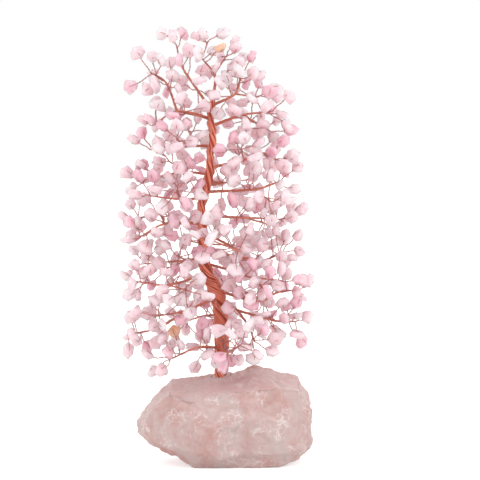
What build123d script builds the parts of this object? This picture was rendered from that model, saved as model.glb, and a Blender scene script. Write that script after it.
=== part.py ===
from build123d import *
import math
import os
import random

import numpy as np

# Gemstone tree ornament: a tree of twisted copper wire with a tumbled rose quartz chip on every
# stem, glued into a socket that is drilled in a block of raw rose quartz.
# Millimetres, +Z up, front towards -Y. The origin lies on the flat underside of the block,
# on the axis of the socket.

# Block of raw quartz
ROCK_WIDTH = 115.0
ROCK_DEPTH = 78.0
ROCK_HEIGHT = 63.5
SOCKET_BORE = 12.0
SOCKET_DEPTH = 20.0

# Glue that holds the foot of the trunk in the socket
GLUE_FLOOR = 1.5
GLUE_MARGIN = 0.6
FIT_GAP = 0.1

# Trunk: seven strands laid round a core
TREE_HEIGHT = 223.0
TRUNK_DIAMETER = 9.8
TRUNK_PITCH = 62.0
STRAND_GAP = 0.12
STRANDS = 7
STRAND_SIDES = 5
LEVELS_PER_TURN = 8

# Limbs, the stems that fan out from them, and the chips on the stems
CANOPY_WIDTH = 131.0
CANOPY_DEPTH = 118.0
LIMB_DIAMETER = 2.3
LIMB_STEMS = 17
LIMB_SIDES = 6
STEM_DIAMETER = 0.8
STEM_LENGTH = 8.5
STEM_PITCH = 1.4
STEM_GAP = 0.1
STEM_SIDES = 3
CHIP_LENGTH = 7.2
CHIP_WIDTH = 7.4
CHIP_THICKNESS = 5.2
CHIP_GAP = 0.35
CHIP_SIDES = 4
# Spread of the chip sizes, and the least and greatest shares of the width at a chip's two ends
CHIP_SPREAD_SHARE = 0.14
LOW_END_SHARES = (0.70, 0.92)
HIGH_END_SHARES = (0.50, 0.98)
# Least and greatest stem length, and share of a limb's own stems that its tip is as thick as
STEM_SHARES = (0.65, 1.40)
TIP_SHARE = 0.2
# Pull of the limb's heading on its stems and on the stem at its end, limits of a stem's lean along
# the limb, and lean of a chip against its stem
FORWARD_SHARE = 0.45
LEADER_SHARE = 1.6
STEEP_SHARE = 0.5
FLAT_SHARE = 0.85
TILT_SHARE = 0.45
# Start of the random bends, and ways tried for each stem
SEED = 11
TRIES = 38

# Trunk outline. Each row: height share of the tree, sideways and depth shares of the canopy's
# half width and half depth, and diameter share.
TRUNK_SHARES = [
    (-0.20, 0.000, 0.00, 0.80), (-0.01, 0.000, 0.00, 0.84), (0.08, 0.010, 0.00, 1.00),
    (0.17, 0.000, 0.01, 0.96), (0.215, -0.030, 0.02, 1.02), (0.25, -0.070, 0.02, 1.00),
    (0.28, -0.130, 0.01, 0.80), (0.325, -0.158, 0.00, 0.72), (0.40, -0.173, -0.02, 0.68),
    (0.47, -0.190, -0.03, 0.58), (0.50, -0.178, -0.02, 0.52), (0.525, -0.144, 0.00, 0.60),
    (0.555, -0.120, 0.01, 0.62), (0.58, -0.107, 0.02, 0.55), (0.63, -0.100, 0.02, 0.48),
    (0.65, -0.075, 0.01, 0.53), (0.71, -0.090, 0.00, 0.44), (0.74, -0.095, 0.00, 0.42),
    (0.81, -0.060, 0.01, 0.32),
]

# Block outline. Each row is an upright slice: sideways share of the half width, the shares of the
# height where it starts and stops, and the shares of the half depth of its front and its back.
ROCK_SHARES = [
    (-0.95, 0.30, 0.46, -0.25, 0.25), (-0.80, 0.19, 0.66, -0.55, 0.50),
    (-0.57, 0.09, 0.88, -0.80, 0.75), (-0.30, 0.00, 0.89, -0.97, 0.88),
    (-0.05, 0.00, 0.91, -1.00, 0.95), (0.18, 0.00, 0.95, -0.94, 1.00),
    (0.39, 0.00, 1.00, -0.98, 0.93), (0.66, 0.00, 0.96, -0.86, 0.88),
    (0.90, 0.05, 0.91, -0.66, 0.62), (1.04, 0.14, 0.62, -0.40, 0.34),
]
# Corners of one slice, from its underside round by the back: depth and height shares. Those on the
# underside and the ridge stay where they are when the rest is roughened.
SLICE_SHARES = [
    (-0.62, 0.00), (0.58, 0.00), (0.94, 0.17), (1.00, 0.52), (0.88, 0.84),
    (0.28, 1.00), (-0.46, 0.98), (-0.86, 0.88), (-1.00, 0.55), (-0.92, 0.15),
]
FIXED_CORNERS = (0, 1, 5)
ROUGH_SHARE = 0.09

# Limbs from the foot to the crown. Each row: height share where the limb leaves the trunk, then its
# hubs. A hub is its place in shares of the canopy's half width, half depth and the tree's height,
# its number of stems, and the hub it grows from, counted from 1, or 0 for the trunk.
LIMB_SHARES = [
    (0.07, [(-0.22, -0.28, 0.08, 7, 0), (-0.50, -0.12, 0.04, 8, 1)]),
    (0.12, [(0.05, -0.42, 0.07, 7, 0), (0.20, -0.66, 0.10, 7, 1)]),
    (0.16, [(-0.18, 0.45, 0.15, 6, 0), (-0.42, 0.68, 0.12, 6, 1), (-0.02, 0.80, 0.14, 7, 1)]),
    (0.20, [(0.16, -0.03, 0.18, 0, 0), (0.27, -0.22, 0.14, 3, 1), (0.33, -0.40, 0.10, 7, 2),
            (0.54, -0.08, 0.15, 6, 1), (0.74, -0.10, 0.15, 7, 4)]),
    (0.21, [(-0.35, -0.12, 0.18, 2, 0), (-0.62, -0.30, 0.17, 7, 1), (-0.60, -0.02, 0.13, 5, 1),
            (-0.91, -0.12, 0.11, 8, 3)]),
    (0.23, [(0.36, -0.20, 0.21, 5, 0), (0.56, 0.02, 0.23, 6, 1), (0.77, -0.05, 0.24, 7, 2)]),
    (0.25, [(0.22, 0.45, 0.22, 6, 0), (0.50, 0.66, 0.18, 7, 1), (0.10, 0.78, 0.25, 6, 1)]),
    (0.28, [(-0.50, -0.35, 0.26, 7, 0), (-0.81, -0.35, 0.27, 7, 1), (-0.30, -0.62, 0.25, 6, 1)]),
    (0.31, [(0.28, -0.25, 0.28, 3, 0), (0.42, -0.42, 0.25, 6, 1), (0.58, -0.22, 0.27, 7, 1)]),
    (0.33, [(-0.33, 0.12, 0.32, 2, 0), (-0.56, 0.32, 0.29, 7, 1), (-0.80, 0.08, 0.31, 7, 1),
            (-0.42, -0.24, 0.34, 5, 1)]),
    (0.35, [(0.20, 0.05, 0.33, 0, 0), (0.42, 0.17, 0.32, 7, 1), (0.61, -0.04, 0.35, 8, 2)]),
    (0.37, [(-0.12, 0.48, 0.36, 6, 0), (-0.42, 0.70, 0.37, 6, 1), (0.14, 0.82, 0.35, 6, 1)]),
    (0.40, [(0.19, -0.55, 0.36, 7, 0), (-0.15, -0.62, 0.40, 7, 1)]),
    (0.43, [(-0.55, -0.18, 0.43, 6, 0), (-0.80, -0.25, 0.39, 7, 1), (-0.60, 0.30, 0.45, 5, 1),
            (-0.85, 0.12, 0.44, 6, 3)]),
    (0.45, [(0.24, -0.28, 0.45, 6, 0), (0.60, 0.04, 0.44, 8, 1), (0.45, 0.46, 0.42, 7, 1)]),
    (0.50, [(-0.40, -0.10, 0.50, 2, 0), (-0.69, -0.12, 0.51, 8, 1), (-0.42, -0.48, 0.53, 7, 1)]),
    (0.52, [(0.34, -0.22, 0.53, 6, 0), (0.58, 0.04, 0.55, 8, 1), (0.48, -0.50, 0.50, 6, 1)]),
    (0.54, [(0.02, 0.46, 0.54, 6, 0), (-0.35, 0.62, 0.55, 6, 1), (0.34, 0.62, 0.55, 6, 1)]),
    (0.57, [(-0.35, 0.05, 0.58, 2, 0), (-0.50, -0.22, 0.61, 6, 1), (-0.78, 0.08, 0.55, 8, 1)]),
    (0.59, [(0.22, 0.02, 0.61, 2, 0), (0.40, 0.16, 0.63, 5, 1), (0.56, 0.10, 0.61, 8, 2),
            (0.20, -0.40, 0.65, 7, 1)]),
    (0.65, [(-0.28, 0.05, 0.65, 2, 0), (-0.69, 0.10, 0.64, 8, 1), (-0.42, -0.30, 0.67, 7, 1),
            (-0.30, 0.44, 0.69, 6, 1)]),
    (0.71, [(0.22, -0.02, 0.74, 3, 0), (0.50, -0.10, 0.75, 8, 1), (0.50, 0.06, 0.69, 7, 1),
            (0.30, 0.40, 0.72, 7, 1)]),
    (0.73, [(-0.42, -0.12, 0.75, 7, 0), (-0.66, 0.06, 0.71, 7, 1), (-0.53, 0.12, 0.83, 6, 1),
            (-0.68, 0.05, 0.86, 6, 3)]),
    (0.76, [(-0.27, 0.02, 0.83, 5, 0), (-0.38, 0.02, 0.88, 6, 1), (-0.43, 0.00, 0.94, 5, 2)]),
    (0.77, [(0.14, -0.16, 0.80, 6, 0), (0.20, 0.02, 0.85, 7, 1), (0.36, 0.14, 0.79, 6, 1)]),
    (0.81, [(-0.06, 0.06, 0.855, 5, 0), (-0.18, -0.10, 0.90, 6, 1), (0.06, 0.06, 0.91, 5, 1),
            (-0.12, -0.04, 0.95, 3, 2)]),
]
CANOPY_LEAN_SHARE = -0.055


def unit(vector):
    """Vector of length one."""
    return vector / np.linalg.norm(vector)


def cross_axes(axis):
    """Two unit vectors square to an axis and to each other."""
    helper = np.array([0, 0, 1]) if abs(axis[2]) < abs(axis[0]) + abs(axis[1]) else np.array([1, 0, 0])
    first = unit(np.cross(helper, axis))
    return first, np.cross(axis, first)


def tube(points, radii, sides, foot=None):
    """Mitred rings of a tube along points. Its first ring is square to foot where that is given."""
    ways = [unit(b - a) for a, b in zip(points, points[1:])]
    axes = [ways[0] if foot is None else foot]
    axes += [unit(a + b) for a, b in zip(ways, ways[1:])] + [ways[-1]]
    side = cross_axes(ways[0])[0]
    rings = []
    for point, axis, radius in zip(points, axes, radii):
        side = unit(side - (side @ axis) * axis)
        back = np.cross(axis, side)
        angles = [math.tau * i / sides for i in range(sides)]
        rings.append([point + radius * (math.cos(a) * side + math.sin(a) * back) for a in angles])
    return rings


def facet(points):
    """Flat face through points."""
    return Face(Wire.make_polygon([tuple(point) for point in points]))


def skin(rings, split):
    """Closed solid through rings of points: flat four-sided facets, each split in two if asked."""
    faces = [facet(rings[0][::-1]), facet(rings[-1])]
    for low, high in zip(rings, rings[1:]):
        for i in range(len(low)):
            j = (i + 1) % len(low)
            if split:
                faces += [facet([low[i], low[j], high[j]]), facet([low[i], high[j], high[i]])]
            else:
                faces.append(facet([low[i], low[j], high[j], high[i]]))
    return Solid(Shell(faces))


def rock_top(x):
    """Height of the block's ridge at a sideways place."""
    shares = np.array(ROCK_SHARES)
    return np.interp(x, shares[:, 0] * ROCK_WIDTH / 2, shares[:, 2] * ROCK_HEIGHT)


def make_rock():
    """Raw block: slices joined by flat fracture faces, with a flat underside and a drilled socket."""
    chance = random.Random(SEED)
    slices = []
    for across, low, high, front, back in ROCK_SHARES:
        corners = []
        for number, (depth, height) in enumerate(SLICE_SHARES):
            rough = 1 + chance.uniform(-ROUGH_SHARE, ROUGH_SHARE)
            reach = -front if depth < 0 else back
            free = number not in FIXED_CORNERS
            rise = height * (1 - abs(rough - 1)) if free else height
            corners.append(np.array([
                across * ROCK_WIDTH / 2,
                depth * reach * (rough if free else 1) * ROCK_DEPTH / 2,
                (low + (high - low) * rise) * ROCK_HEIGHT,
            ]))
        slices.append(corners)
    socket = Pos(0, 0, FOOT - SOCKET_DEPTH) * Cylinder(
        SOCKET_BORE / 2, ROCK_HEIGHT, align=(Align.CENTER, Align.CENTER, Align.MIN))
    return skin(slices, split=True) - socket


def make_glue():
    """Set epoxy cup that fills the socket round the foot of the trunk."""
    height = SOCKET_DEPTH - GLUE_MARGIN
    foot = trunk_at(FOOT - SOCKET_DEPTH + GLUE_FLOOR)[1] + FIT_GAP
    cup = Cylinder(SOCKET_BORE / 2 - FIT_GAP, height, align=(Align.CENTER, Align.CENTER, Align.MIN))
    bore = Cylinder(foot, height, align=(Align.CENTER, Align.CENTER, Align.MIN))
    return Pos(0, 0, FOOT - SOCKET_DEPTH) * (cup - Pos(0, 0, GLUE_FLOOR) * bore)


def trunk_at(z):
    """Centre and radius of the trunk at a height."""
    shares = np.array(TRUNK_SHARES)
    share = (z - FOOT) / TREE_HEIGHT
    x = np.interp(share, shares[:, 0], shares[:, 1]) * CANOPY_WIDTH / 2
    y = np.interp(share, shares[:, 0], shares[:, 2]) * CANOPY_DEPTH / 2
    radius = np.interp(share, shares[:, 0], shares[:, 3]) * TRUNK_DIAMETER / 2
    return np.array([x, y, z]), radius


def strand_sizes(radius):
    """Radius of a strand, distance of its centre from the axis, and radius of the core."""
    step = math.tau / LEVELS_PER_TURN
    slope = math.sin(math.pi / STRANDS) * math.cos(step / 2)
    strand = (radius * slope - STRAND_GAP / 2) / (1 + slope)
    lay = radius - strand
    core = lay * math.cos(step / 2) - strand - STRAND_GAP
    return strand, lay, core


def twist_at(z):
    """Angle that the strands have turned through at a height."""
    return math.tau * (z - TRUNK_FOOT) / TRUNK_PITCH


def trunk_levels():
    """Heights of the trunk's rings, from the socket's glue floor to the crown."""
    count = math.ceil((TRUNK_TOP - TRUNK_FOOT) * LEVELS_PER_TURN / TRUNK_PITCH)
    return [TRUNK_FOOT + (TRUNK_TOP - TRUNK_FOOT) * i / count for i in range(count + 1)]


def make_strand(number):
    """One strand of the trunk, twisted round the core and tapered towards the crown."""
    rings = []
    for z in trunk_levels():
        centre, radius = trunk_at(z)
        strand, lay = strand_sizes(radius)[:2]
        turn = twist_at(z) + math.tau * number / STRANDS
        middle = centre + lay * np.array([math.cos(turn), math.sin(turn), 0])
        angles = [turn + math.tau * i / STRAND_SIDES for i in range(STRAND_SIDES)]
        rings.append([middle + strand * np.array([math.cos(a), math.sin(a), 0]) for a in angles])
    return skin(rings, split=True)


def make_core():
    """Core of the trunk, which the strands are laid round."""
    rings = []
    for z in trunk_levels():
        centre, radius = trunk_at(z)
        core = strand_sizes(radius)[2]
        angles = [math.tau * i / STRAND_SIDES for i in range(STRAND_SIDES)]
        rings.append([centre + core * np.array([math.cos(a), math.sin(a), 0]) for a in angles])
    return skin(rings, split=True)


def bundle_radius(stems):
    """Radius of a limb where it holds the wires of so many stems."""
    grown = math.sqrt(stems / LIMB_STEMS)
    return (STEM_DIAMETER + (LIMB_DIAMETER - STEM_DIAMETER) * grown) / 2


def place(hub):
    """Place of a hub in millimetres."""
    x, y, z = hub[:3]
    return np.array([x * CANOPY_WIDTH / 2, y * CANOPY_DEPTH / 2, FOOT + z * TREE_HEIGHT])


def stems_beyond(hubs, number):
    """Stems that a hub carries, with those of the hubs that grow from it."""
    grown = [i + 1 for i, hub in enumerate(hubs) if hub[4] == number]
    return hubs[number - 1][3] + sum(stems_beyond(hubs, i) for i in grown)


def limb_root(leave, hubs):
    """Point inside the crest of the strand that a limb leaves, and the strands near it."""
    z = FOOT + leave * TREE_HEIGHT
    centre, radius = trunk_at(z)
    if z >= TRUNK_TOP:
        return centre, []
    strand = strand_sizes(radius)[0]
    out = place(hubs[0]) - centre
    pitch = math.tau / STRANDS
    number = round((math.atan2(out[1], out[0]) - twist_at(z)) / pitch)
    turn = twist_at(z) + number * pitch
    root = centre + (radius - strand / 2) * np.array([math.cos(turn), math.sin(turn), 0])
    return root, [(number + side) % STRANDS for side in (-1, 0, 1)]


def limb_chains(leave, hubs):
    """Unforked lengths of a limb: the points of each, its radii there and the hubs it passes."""
    chains = []
    for number, hub in enumerate(hubs, start=1):
        radius = bundle_radius(stems_beyond(hubs, number))
        if number > 1 and hub[4] == number - 1:
            points, radii, passed = chains[-1]
            radii[-1] = radius
        else:
            start = limb_root(leave, hubs)[0] if hub[4] == 0 else place(hubs[hub[4] - 1])
            points, radii, passed = [start], [radius], []
            chains.append((points, radii, passed))
        points.append(place(hub))
        radii.append(bundle_radius(hub[3] * TIP_SHARE))
        passed.append(hub)
    return chains


def gaps_between(start, end, starts, ends):
    """Distances between one straight run and many."""
    along = end - start
    others = ends - starts
    offset = start - starts
    tiny = np.finfo(float).eps
    a = max(along @ along, tiny)
    b = np.maximum((others * others).sum(axis=1), tiny)
    c = others @ along
    d = offset @ along
    e = (others * offset).sum(axis=1)
    s = np.clip((c * e - b * d) / np.maximum(a * b - c * c, tiny), 0, 1)
    t = np.clip((c * s + e) / b, 0, 1)
    s = np.clip((c * t - d) / a, 0, 1)
    return np.linalg.norm(offset + s[:, None] * along - t[:, None] * others, axis=1)


def chip_rings(chance):
    """Cut of one chip: two four-sided ends turned against each other, on an upright axis."""
    length, width, thickness = [
        size * (1 + chance.uniform(-CHIP_SPREAD_SHARE, CHIP_SPREAD_SHARE))
        for size in (CHIP_LENGTH, CHIP_WIDTH, CHIP_THICKNESS)
    ]
    start = chance.uniform(0, math.tau)
    rings = []
    for level, shares in enumerate((LOW_END_SHARES, HIGH_END_SHARES)):
        share = chance.uniform(*shares)
        angles = [start + math.tau * (i - level / 2) / CHIP_SIDES for i in range(CHIP_SIDES)]
        rings.append([
            np.array([math.cos(a) * share * width / 2, math.sin(a) * share * thickness / 2, level * length])
            for a in angles
        ])
    return rings


def turned(rings, place_at, axis, roll):
    """Rings moved so that their upright axis lies along another, from a given point."""
    first, second = cross_axes(axis)
    side = math.cos(roll) * first + math.sin(roll) * second
    back = np.cross(axis, side)
    return [[place_at + p[0] * side + p[1] * back + p[2] * axis for p in points] for points in rings]


def any_way(chance):
    """Unit vector in a random direction."""
    rise = chance.uniform(-1, 1)
    turn = chance.uniform(0, math.tau)
    flat = math.sqrt(1 - rise * rise)
    return np.array([flat * math.cos(turn), flat * math.sin(turn), rise])


class Room:
    """What is placed already. Each row is a round run: its two ends, its radius and its limb."""

    def __init__(self):
        self.runs = np.empty((0, 8))

    def take(self, start, end, radius, limb):
        """Add a run, or a ball where its two ends are the same point."""
        self.runs = np.vstack([self.runs, [*start, *end, radius, limb]])

    def near(self, point, reach):
        """Runs that come within reach of a point."""
        gaps = gaps_between(point, point, self.runs[:, :3], self.runs[:, 3:6])
        return self.runs[gaps < reach + self.runs[:, 6]]


def gap_to(runs, start, end, radius):
    """Least gap from a round run to others, or no limit where there are none."""
    gaps = gaps_between(start, end, runs[:, :3], runs[:, 3:6]) - runs[:, 6]
    return gaps.min(initial=math.inf) - radius


def inside_canopy(centre, radius):
    """Gap from a ball to the sides and the top of the canopy, and to the block below it."""
    lean = CANOPY_LEAN_SHARE * CANOPY_WIDTH / 2
    return min(
        CANOPY_WIDTH / 2 - abs(centre[0] - lean) - radius,
        CANOPY_DEPTH / 2 - abs(centre[1]) - radius,
        FOOT + TREE_HEIGHT - centre[2] - radius,
        centre[2] - radius - rock_top(centre[0]),
    )


def stem_base(foot, heading, radius, way, last):
    """Point where a stem leaves a limb, clear of its side or of its end by the stem gap."""
    along = way @ heading
    across = math.sqrt(max(1 - along * along, 0))
    if last:
        return foot + way * (STEM_GAP + across * STEM_DIAMETER / 2) / along
    return foot + way * (radius + STEM_GAP + abs(along) * STEM_DIAMETER / 2) / across


def grow_stem(chance, runs, own, others, foot, heading, radius, last):
    """Most open of several ways to bend a stem and its chip, or None where there is no room."""
    shape = chip_rings(chance)
    best, best_gap = None, CHIP_GAP
    for _ in range(TRIES):
        way = unit((LEADER_SHARE if last else FORWARD_SHARE) * heading + any_way(chance))
        steep = way @ heading
        if (last and steep < STEEP_SHARE) or (not last and abs(steep) > FLAT_SHARE):
            continue
        base = stem_base(foot, heading, radius, way, last)
        end = base + way * STEM_LENGTH * chance.uniform(*STEM_SHARES)
        axis = unit(way + TILT_SHARE * any_way(chance))
        rings = turned(shape, end, axis, chance.uniform(0, math.tau))
        corners = np.array(rings[0] + rings[1])
        centre = corners.mean(axis=0)
        ball = np.linalg.norm(corners - centre, axis=1).max()
        if gap_to(own, base, end, STEM_DIAMETER / 2) < STEM_GAP:
            continue
        gap = min(
            inside_canopy(centre, ball),
            gap_to(runs, centre, centre, ball),
            gap_to(others, base, end, STEM_DIAMETER / 2),
            gap_to(own, base + (end - base) / 2, end, STEM_DIAMETER / 2),
        )
        if gap > best_gap:
            best, best_gap = (base, way, rings, centre, ball), gap
    return best


def grow_limb(chance, room, limb, leave, hubs):
    """Stems and chips of one limb. Where a length ends, one stem goes on from its end."""
    stems = []
    for points, radii, passed in limb_chains(leave, hubs):
        for i, hub in enumerate(passed):
            start, end = points[i], points[i + 1]
            heading = unit(end - start)
            ends_here = i + 1 == len(passed)
            for number in range(hub[3]):
                last = ends_here and number == 0
                back = 0 if last else STEM_PITCH * (number + (0 if ends_here else 1))
                radius = radii[i + 1] + (radii[i] - radii[i + 1]) * back / math.dist(start, end)
                runs = room.near(end, STEM_LENGTH * STEM_SHARES[1] + 2 * CHIP_LENGTH)
                mine = runs[:, 7] == limb
                span = (runs[:, :6] == [*start, *end]).all(axis=1)
                stem = grow_stem(chance, runs, runs[mine & ~span], runs[~mine],
                                 end - heading * back, heading, radius, last)
                if stem:
                    stems.append(stem)
                    room.take(stem[0], np.mean(stem[2][0], axis=0), STEM_DIAMETER / 2, limb)
                    room.take(stem[3], stem[3], stem[4], limb)
    return stems


def grow_tree():
    """Stems and chips of every limb, each bent into the room that the others leave."""
    chance = random.Random(SEED)
    room = Room()
    heights = [FOOT + row[0] * TREE_HEIGHT for row in TRUNK_SHARES]
    for low, high in zip(heights, heights[1:]):
        (start, wide), (end, thin) = trunk_at(low), trunk_at(high)
        room.take(start, end, max(wide, thin), 0)
    for limb, row in enumerate(LIMB_SHARES, start=1):
        for points, radii, _ in limb_chains(*row):
            for start, end, radius in zip(points, points[1:], radii):
                room.take(start, end, radius, limb)
    return [grow_limb(chance, room, limb, *row) for limb, row in enumerate(LIMB_SHARES, start=1)]


def make_stem(start, way, rings):
    """Straight stem from just clear of its limb, whose end lies flat against a chip."""
    near, far = tube([start, start + way], [STEM_DIAMETER / 2] * 2, STEM_SIDES)
    middle = np.mean(rings[0], axis=0)
    normal = unit(np.cross(rings[0][1] - rings[0][0], rings[0][2] - rings[0][0]))
    far = [p + way * ((middle - p) @ normal) / (way @ normal) for p in near]
    return skin([near, far], split=False)


def make_limb(row, strands):
    """Twisted bundle of one limb, seated on the trunk's top or on the strand that it leaves."""
    near = limb_root(*row)[1]
    lengths = []
    for points, radii, _ in limb_chains(*row):
        foot = None if near or lengths else UP
        lengths.append(skin(tube(points, radii, LIMB_SIDES, foot), split=True))
    wires = lengths[0].fuse(*lengths[1:]) if lengths[1:] else lengths[0]
    if near:
        wires -= [strands[number] for number in near]
    return max(wires.solids(), key=lambda solid: solid.volume)


UP = np.array([0, 0, 1])
FOOT = rock_top(0)
TRUNK_FOOT = FOOT - SOCKET_DEPTH + GLUE_FLOOR
TRUNK_TOP = FOOT + TRUNK_SHARES[-1][0] * TREE_HEIGHT


def main():
    """Build every piece and write one file for each node."""
    os.makedirs("parts", exist_ok=True)
    strands = [make_strand(number) for number in range(STRANDS)]
    nodes = {
        "rock_base": make_rock(),
        "socket_glue": make_glue(),
        "trunk_core": make_core(),
        "trunk_strands": Compound(children=strands),
    }
    for number, (row, stems) in enumerate(zip(LIMB_SHARES, grow_tree()), start=1):
        wires = [make_limb(row, strands)] + [make_stem(*stem[:3]) for stem in stems]
        chips = [skin(stem[2], split=True) for stem in stems]
        nodes[f"limb_{number:02d}_wires"] = Compound(children=wires)
        nodes[f"limb_{number:02d}_chips"] = Compound(children=chips)
    print("chips", sum(len(nodes[name].solids()) for name in nodes if name.endswith("chips")))
    for name, node in nodes.items():
        export_step(node, f"parts/{name}.step")


main()
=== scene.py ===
import math
import random

import bmesh
import bpy
import numpy as np
from mathutils import Matrix, Vector, noise


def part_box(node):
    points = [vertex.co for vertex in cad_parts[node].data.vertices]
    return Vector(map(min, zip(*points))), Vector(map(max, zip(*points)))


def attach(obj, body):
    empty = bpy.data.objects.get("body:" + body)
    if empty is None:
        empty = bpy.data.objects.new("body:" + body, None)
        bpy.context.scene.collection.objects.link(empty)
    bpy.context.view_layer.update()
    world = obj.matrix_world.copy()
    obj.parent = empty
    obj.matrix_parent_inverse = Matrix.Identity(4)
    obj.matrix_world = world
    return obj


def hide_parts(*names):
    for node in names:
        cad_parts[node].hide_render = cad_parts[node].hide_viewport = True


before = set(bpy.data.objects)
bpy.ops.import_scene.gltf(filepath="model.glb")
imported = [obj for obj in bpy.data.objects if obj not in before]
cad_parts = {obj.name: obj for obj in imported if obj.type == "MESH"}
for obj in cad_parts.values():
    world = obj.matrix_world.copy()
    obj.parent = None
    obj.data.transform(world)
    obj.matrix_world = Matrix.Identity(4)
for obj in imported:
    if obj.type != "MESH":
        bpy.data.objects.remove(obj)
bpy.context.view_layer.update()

bl_info = {
    "name": "Gemstone tree ornament",
    "version": (1, 0, 0),
    "blender": (4, 5, 0),
    "location": "3D View > Sidebar > Gem Tree",
    "description": "Dresses the wire tree with twisted copper, tumbled quartz chips and a raw quartz block",
    "category": "Object",
}

# The part's own sizes and shares, in metres, for the wires' paths
MM = 0.001
SOCKET_BORE = 12.0 * MM
SOCKET_DEPTH = 20.0 * MM
GLUE_FLOOR = 1.5 * MM
GLUE_MARGIN = 0.6 * MM
FIT_GAP = 0.1 * MM
TREE_HEIGHT = 223.0 * MM
TRUNK_DIAMETER = 9.8 * MM
TRUNK_PITCH = 62.0 * MM
STRANDS = 7
CANOPY_WIDTH = 131.0 * MM
CANOPY_DEPTH = 118.0 * MM
LIMB_DIAMETER = 2.3 * MM
LIMB_STEMS = 17
STEM_DIAMETER = 0.8 * MM
TIP_SHARE = 0.2

# Trunk outline: height share of the tree, sideways and depth shares of the canopy's half width and
# half depth, and diameter share
TRUNK_SHARES = [
    (-0.20, 0.000, 0.00, 0.80), (-0.01, 0.000, 0.00, 0.84), (0.08, 0.010, 0.00, 1.00),
    (0.17, 0.000, 0.01, 0.96), (0.215, -0.030, 0.02, 1.02), (0.25, -0.070, 0.02, 1.00),
    (0.28, -0.130, 0.01, 0.80), (0.325, -0.158, 0.00, 0.72), (0.40, -0.173, -0.02, 0.68),
    (0.47, -0.190, -0.03, 0.58), (0.50, -0.178, -0.02, 0.52), (0.525, -0.144, 0.00, 0.60),
    (0.555, -0.120, 0.01, 0.62), (0.58, -0.107, 0.02, 0.55), (0.63, -0.100, 0.02, 0.48),
    (0.65, -0.075, 0.01, 0.53), (0.71, -0.090, 0.00, 0.44), (0.74, -0.095, 0.00, 0.42),
    (0.81, -0.060, 0.01, 0.32),
]

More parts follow.
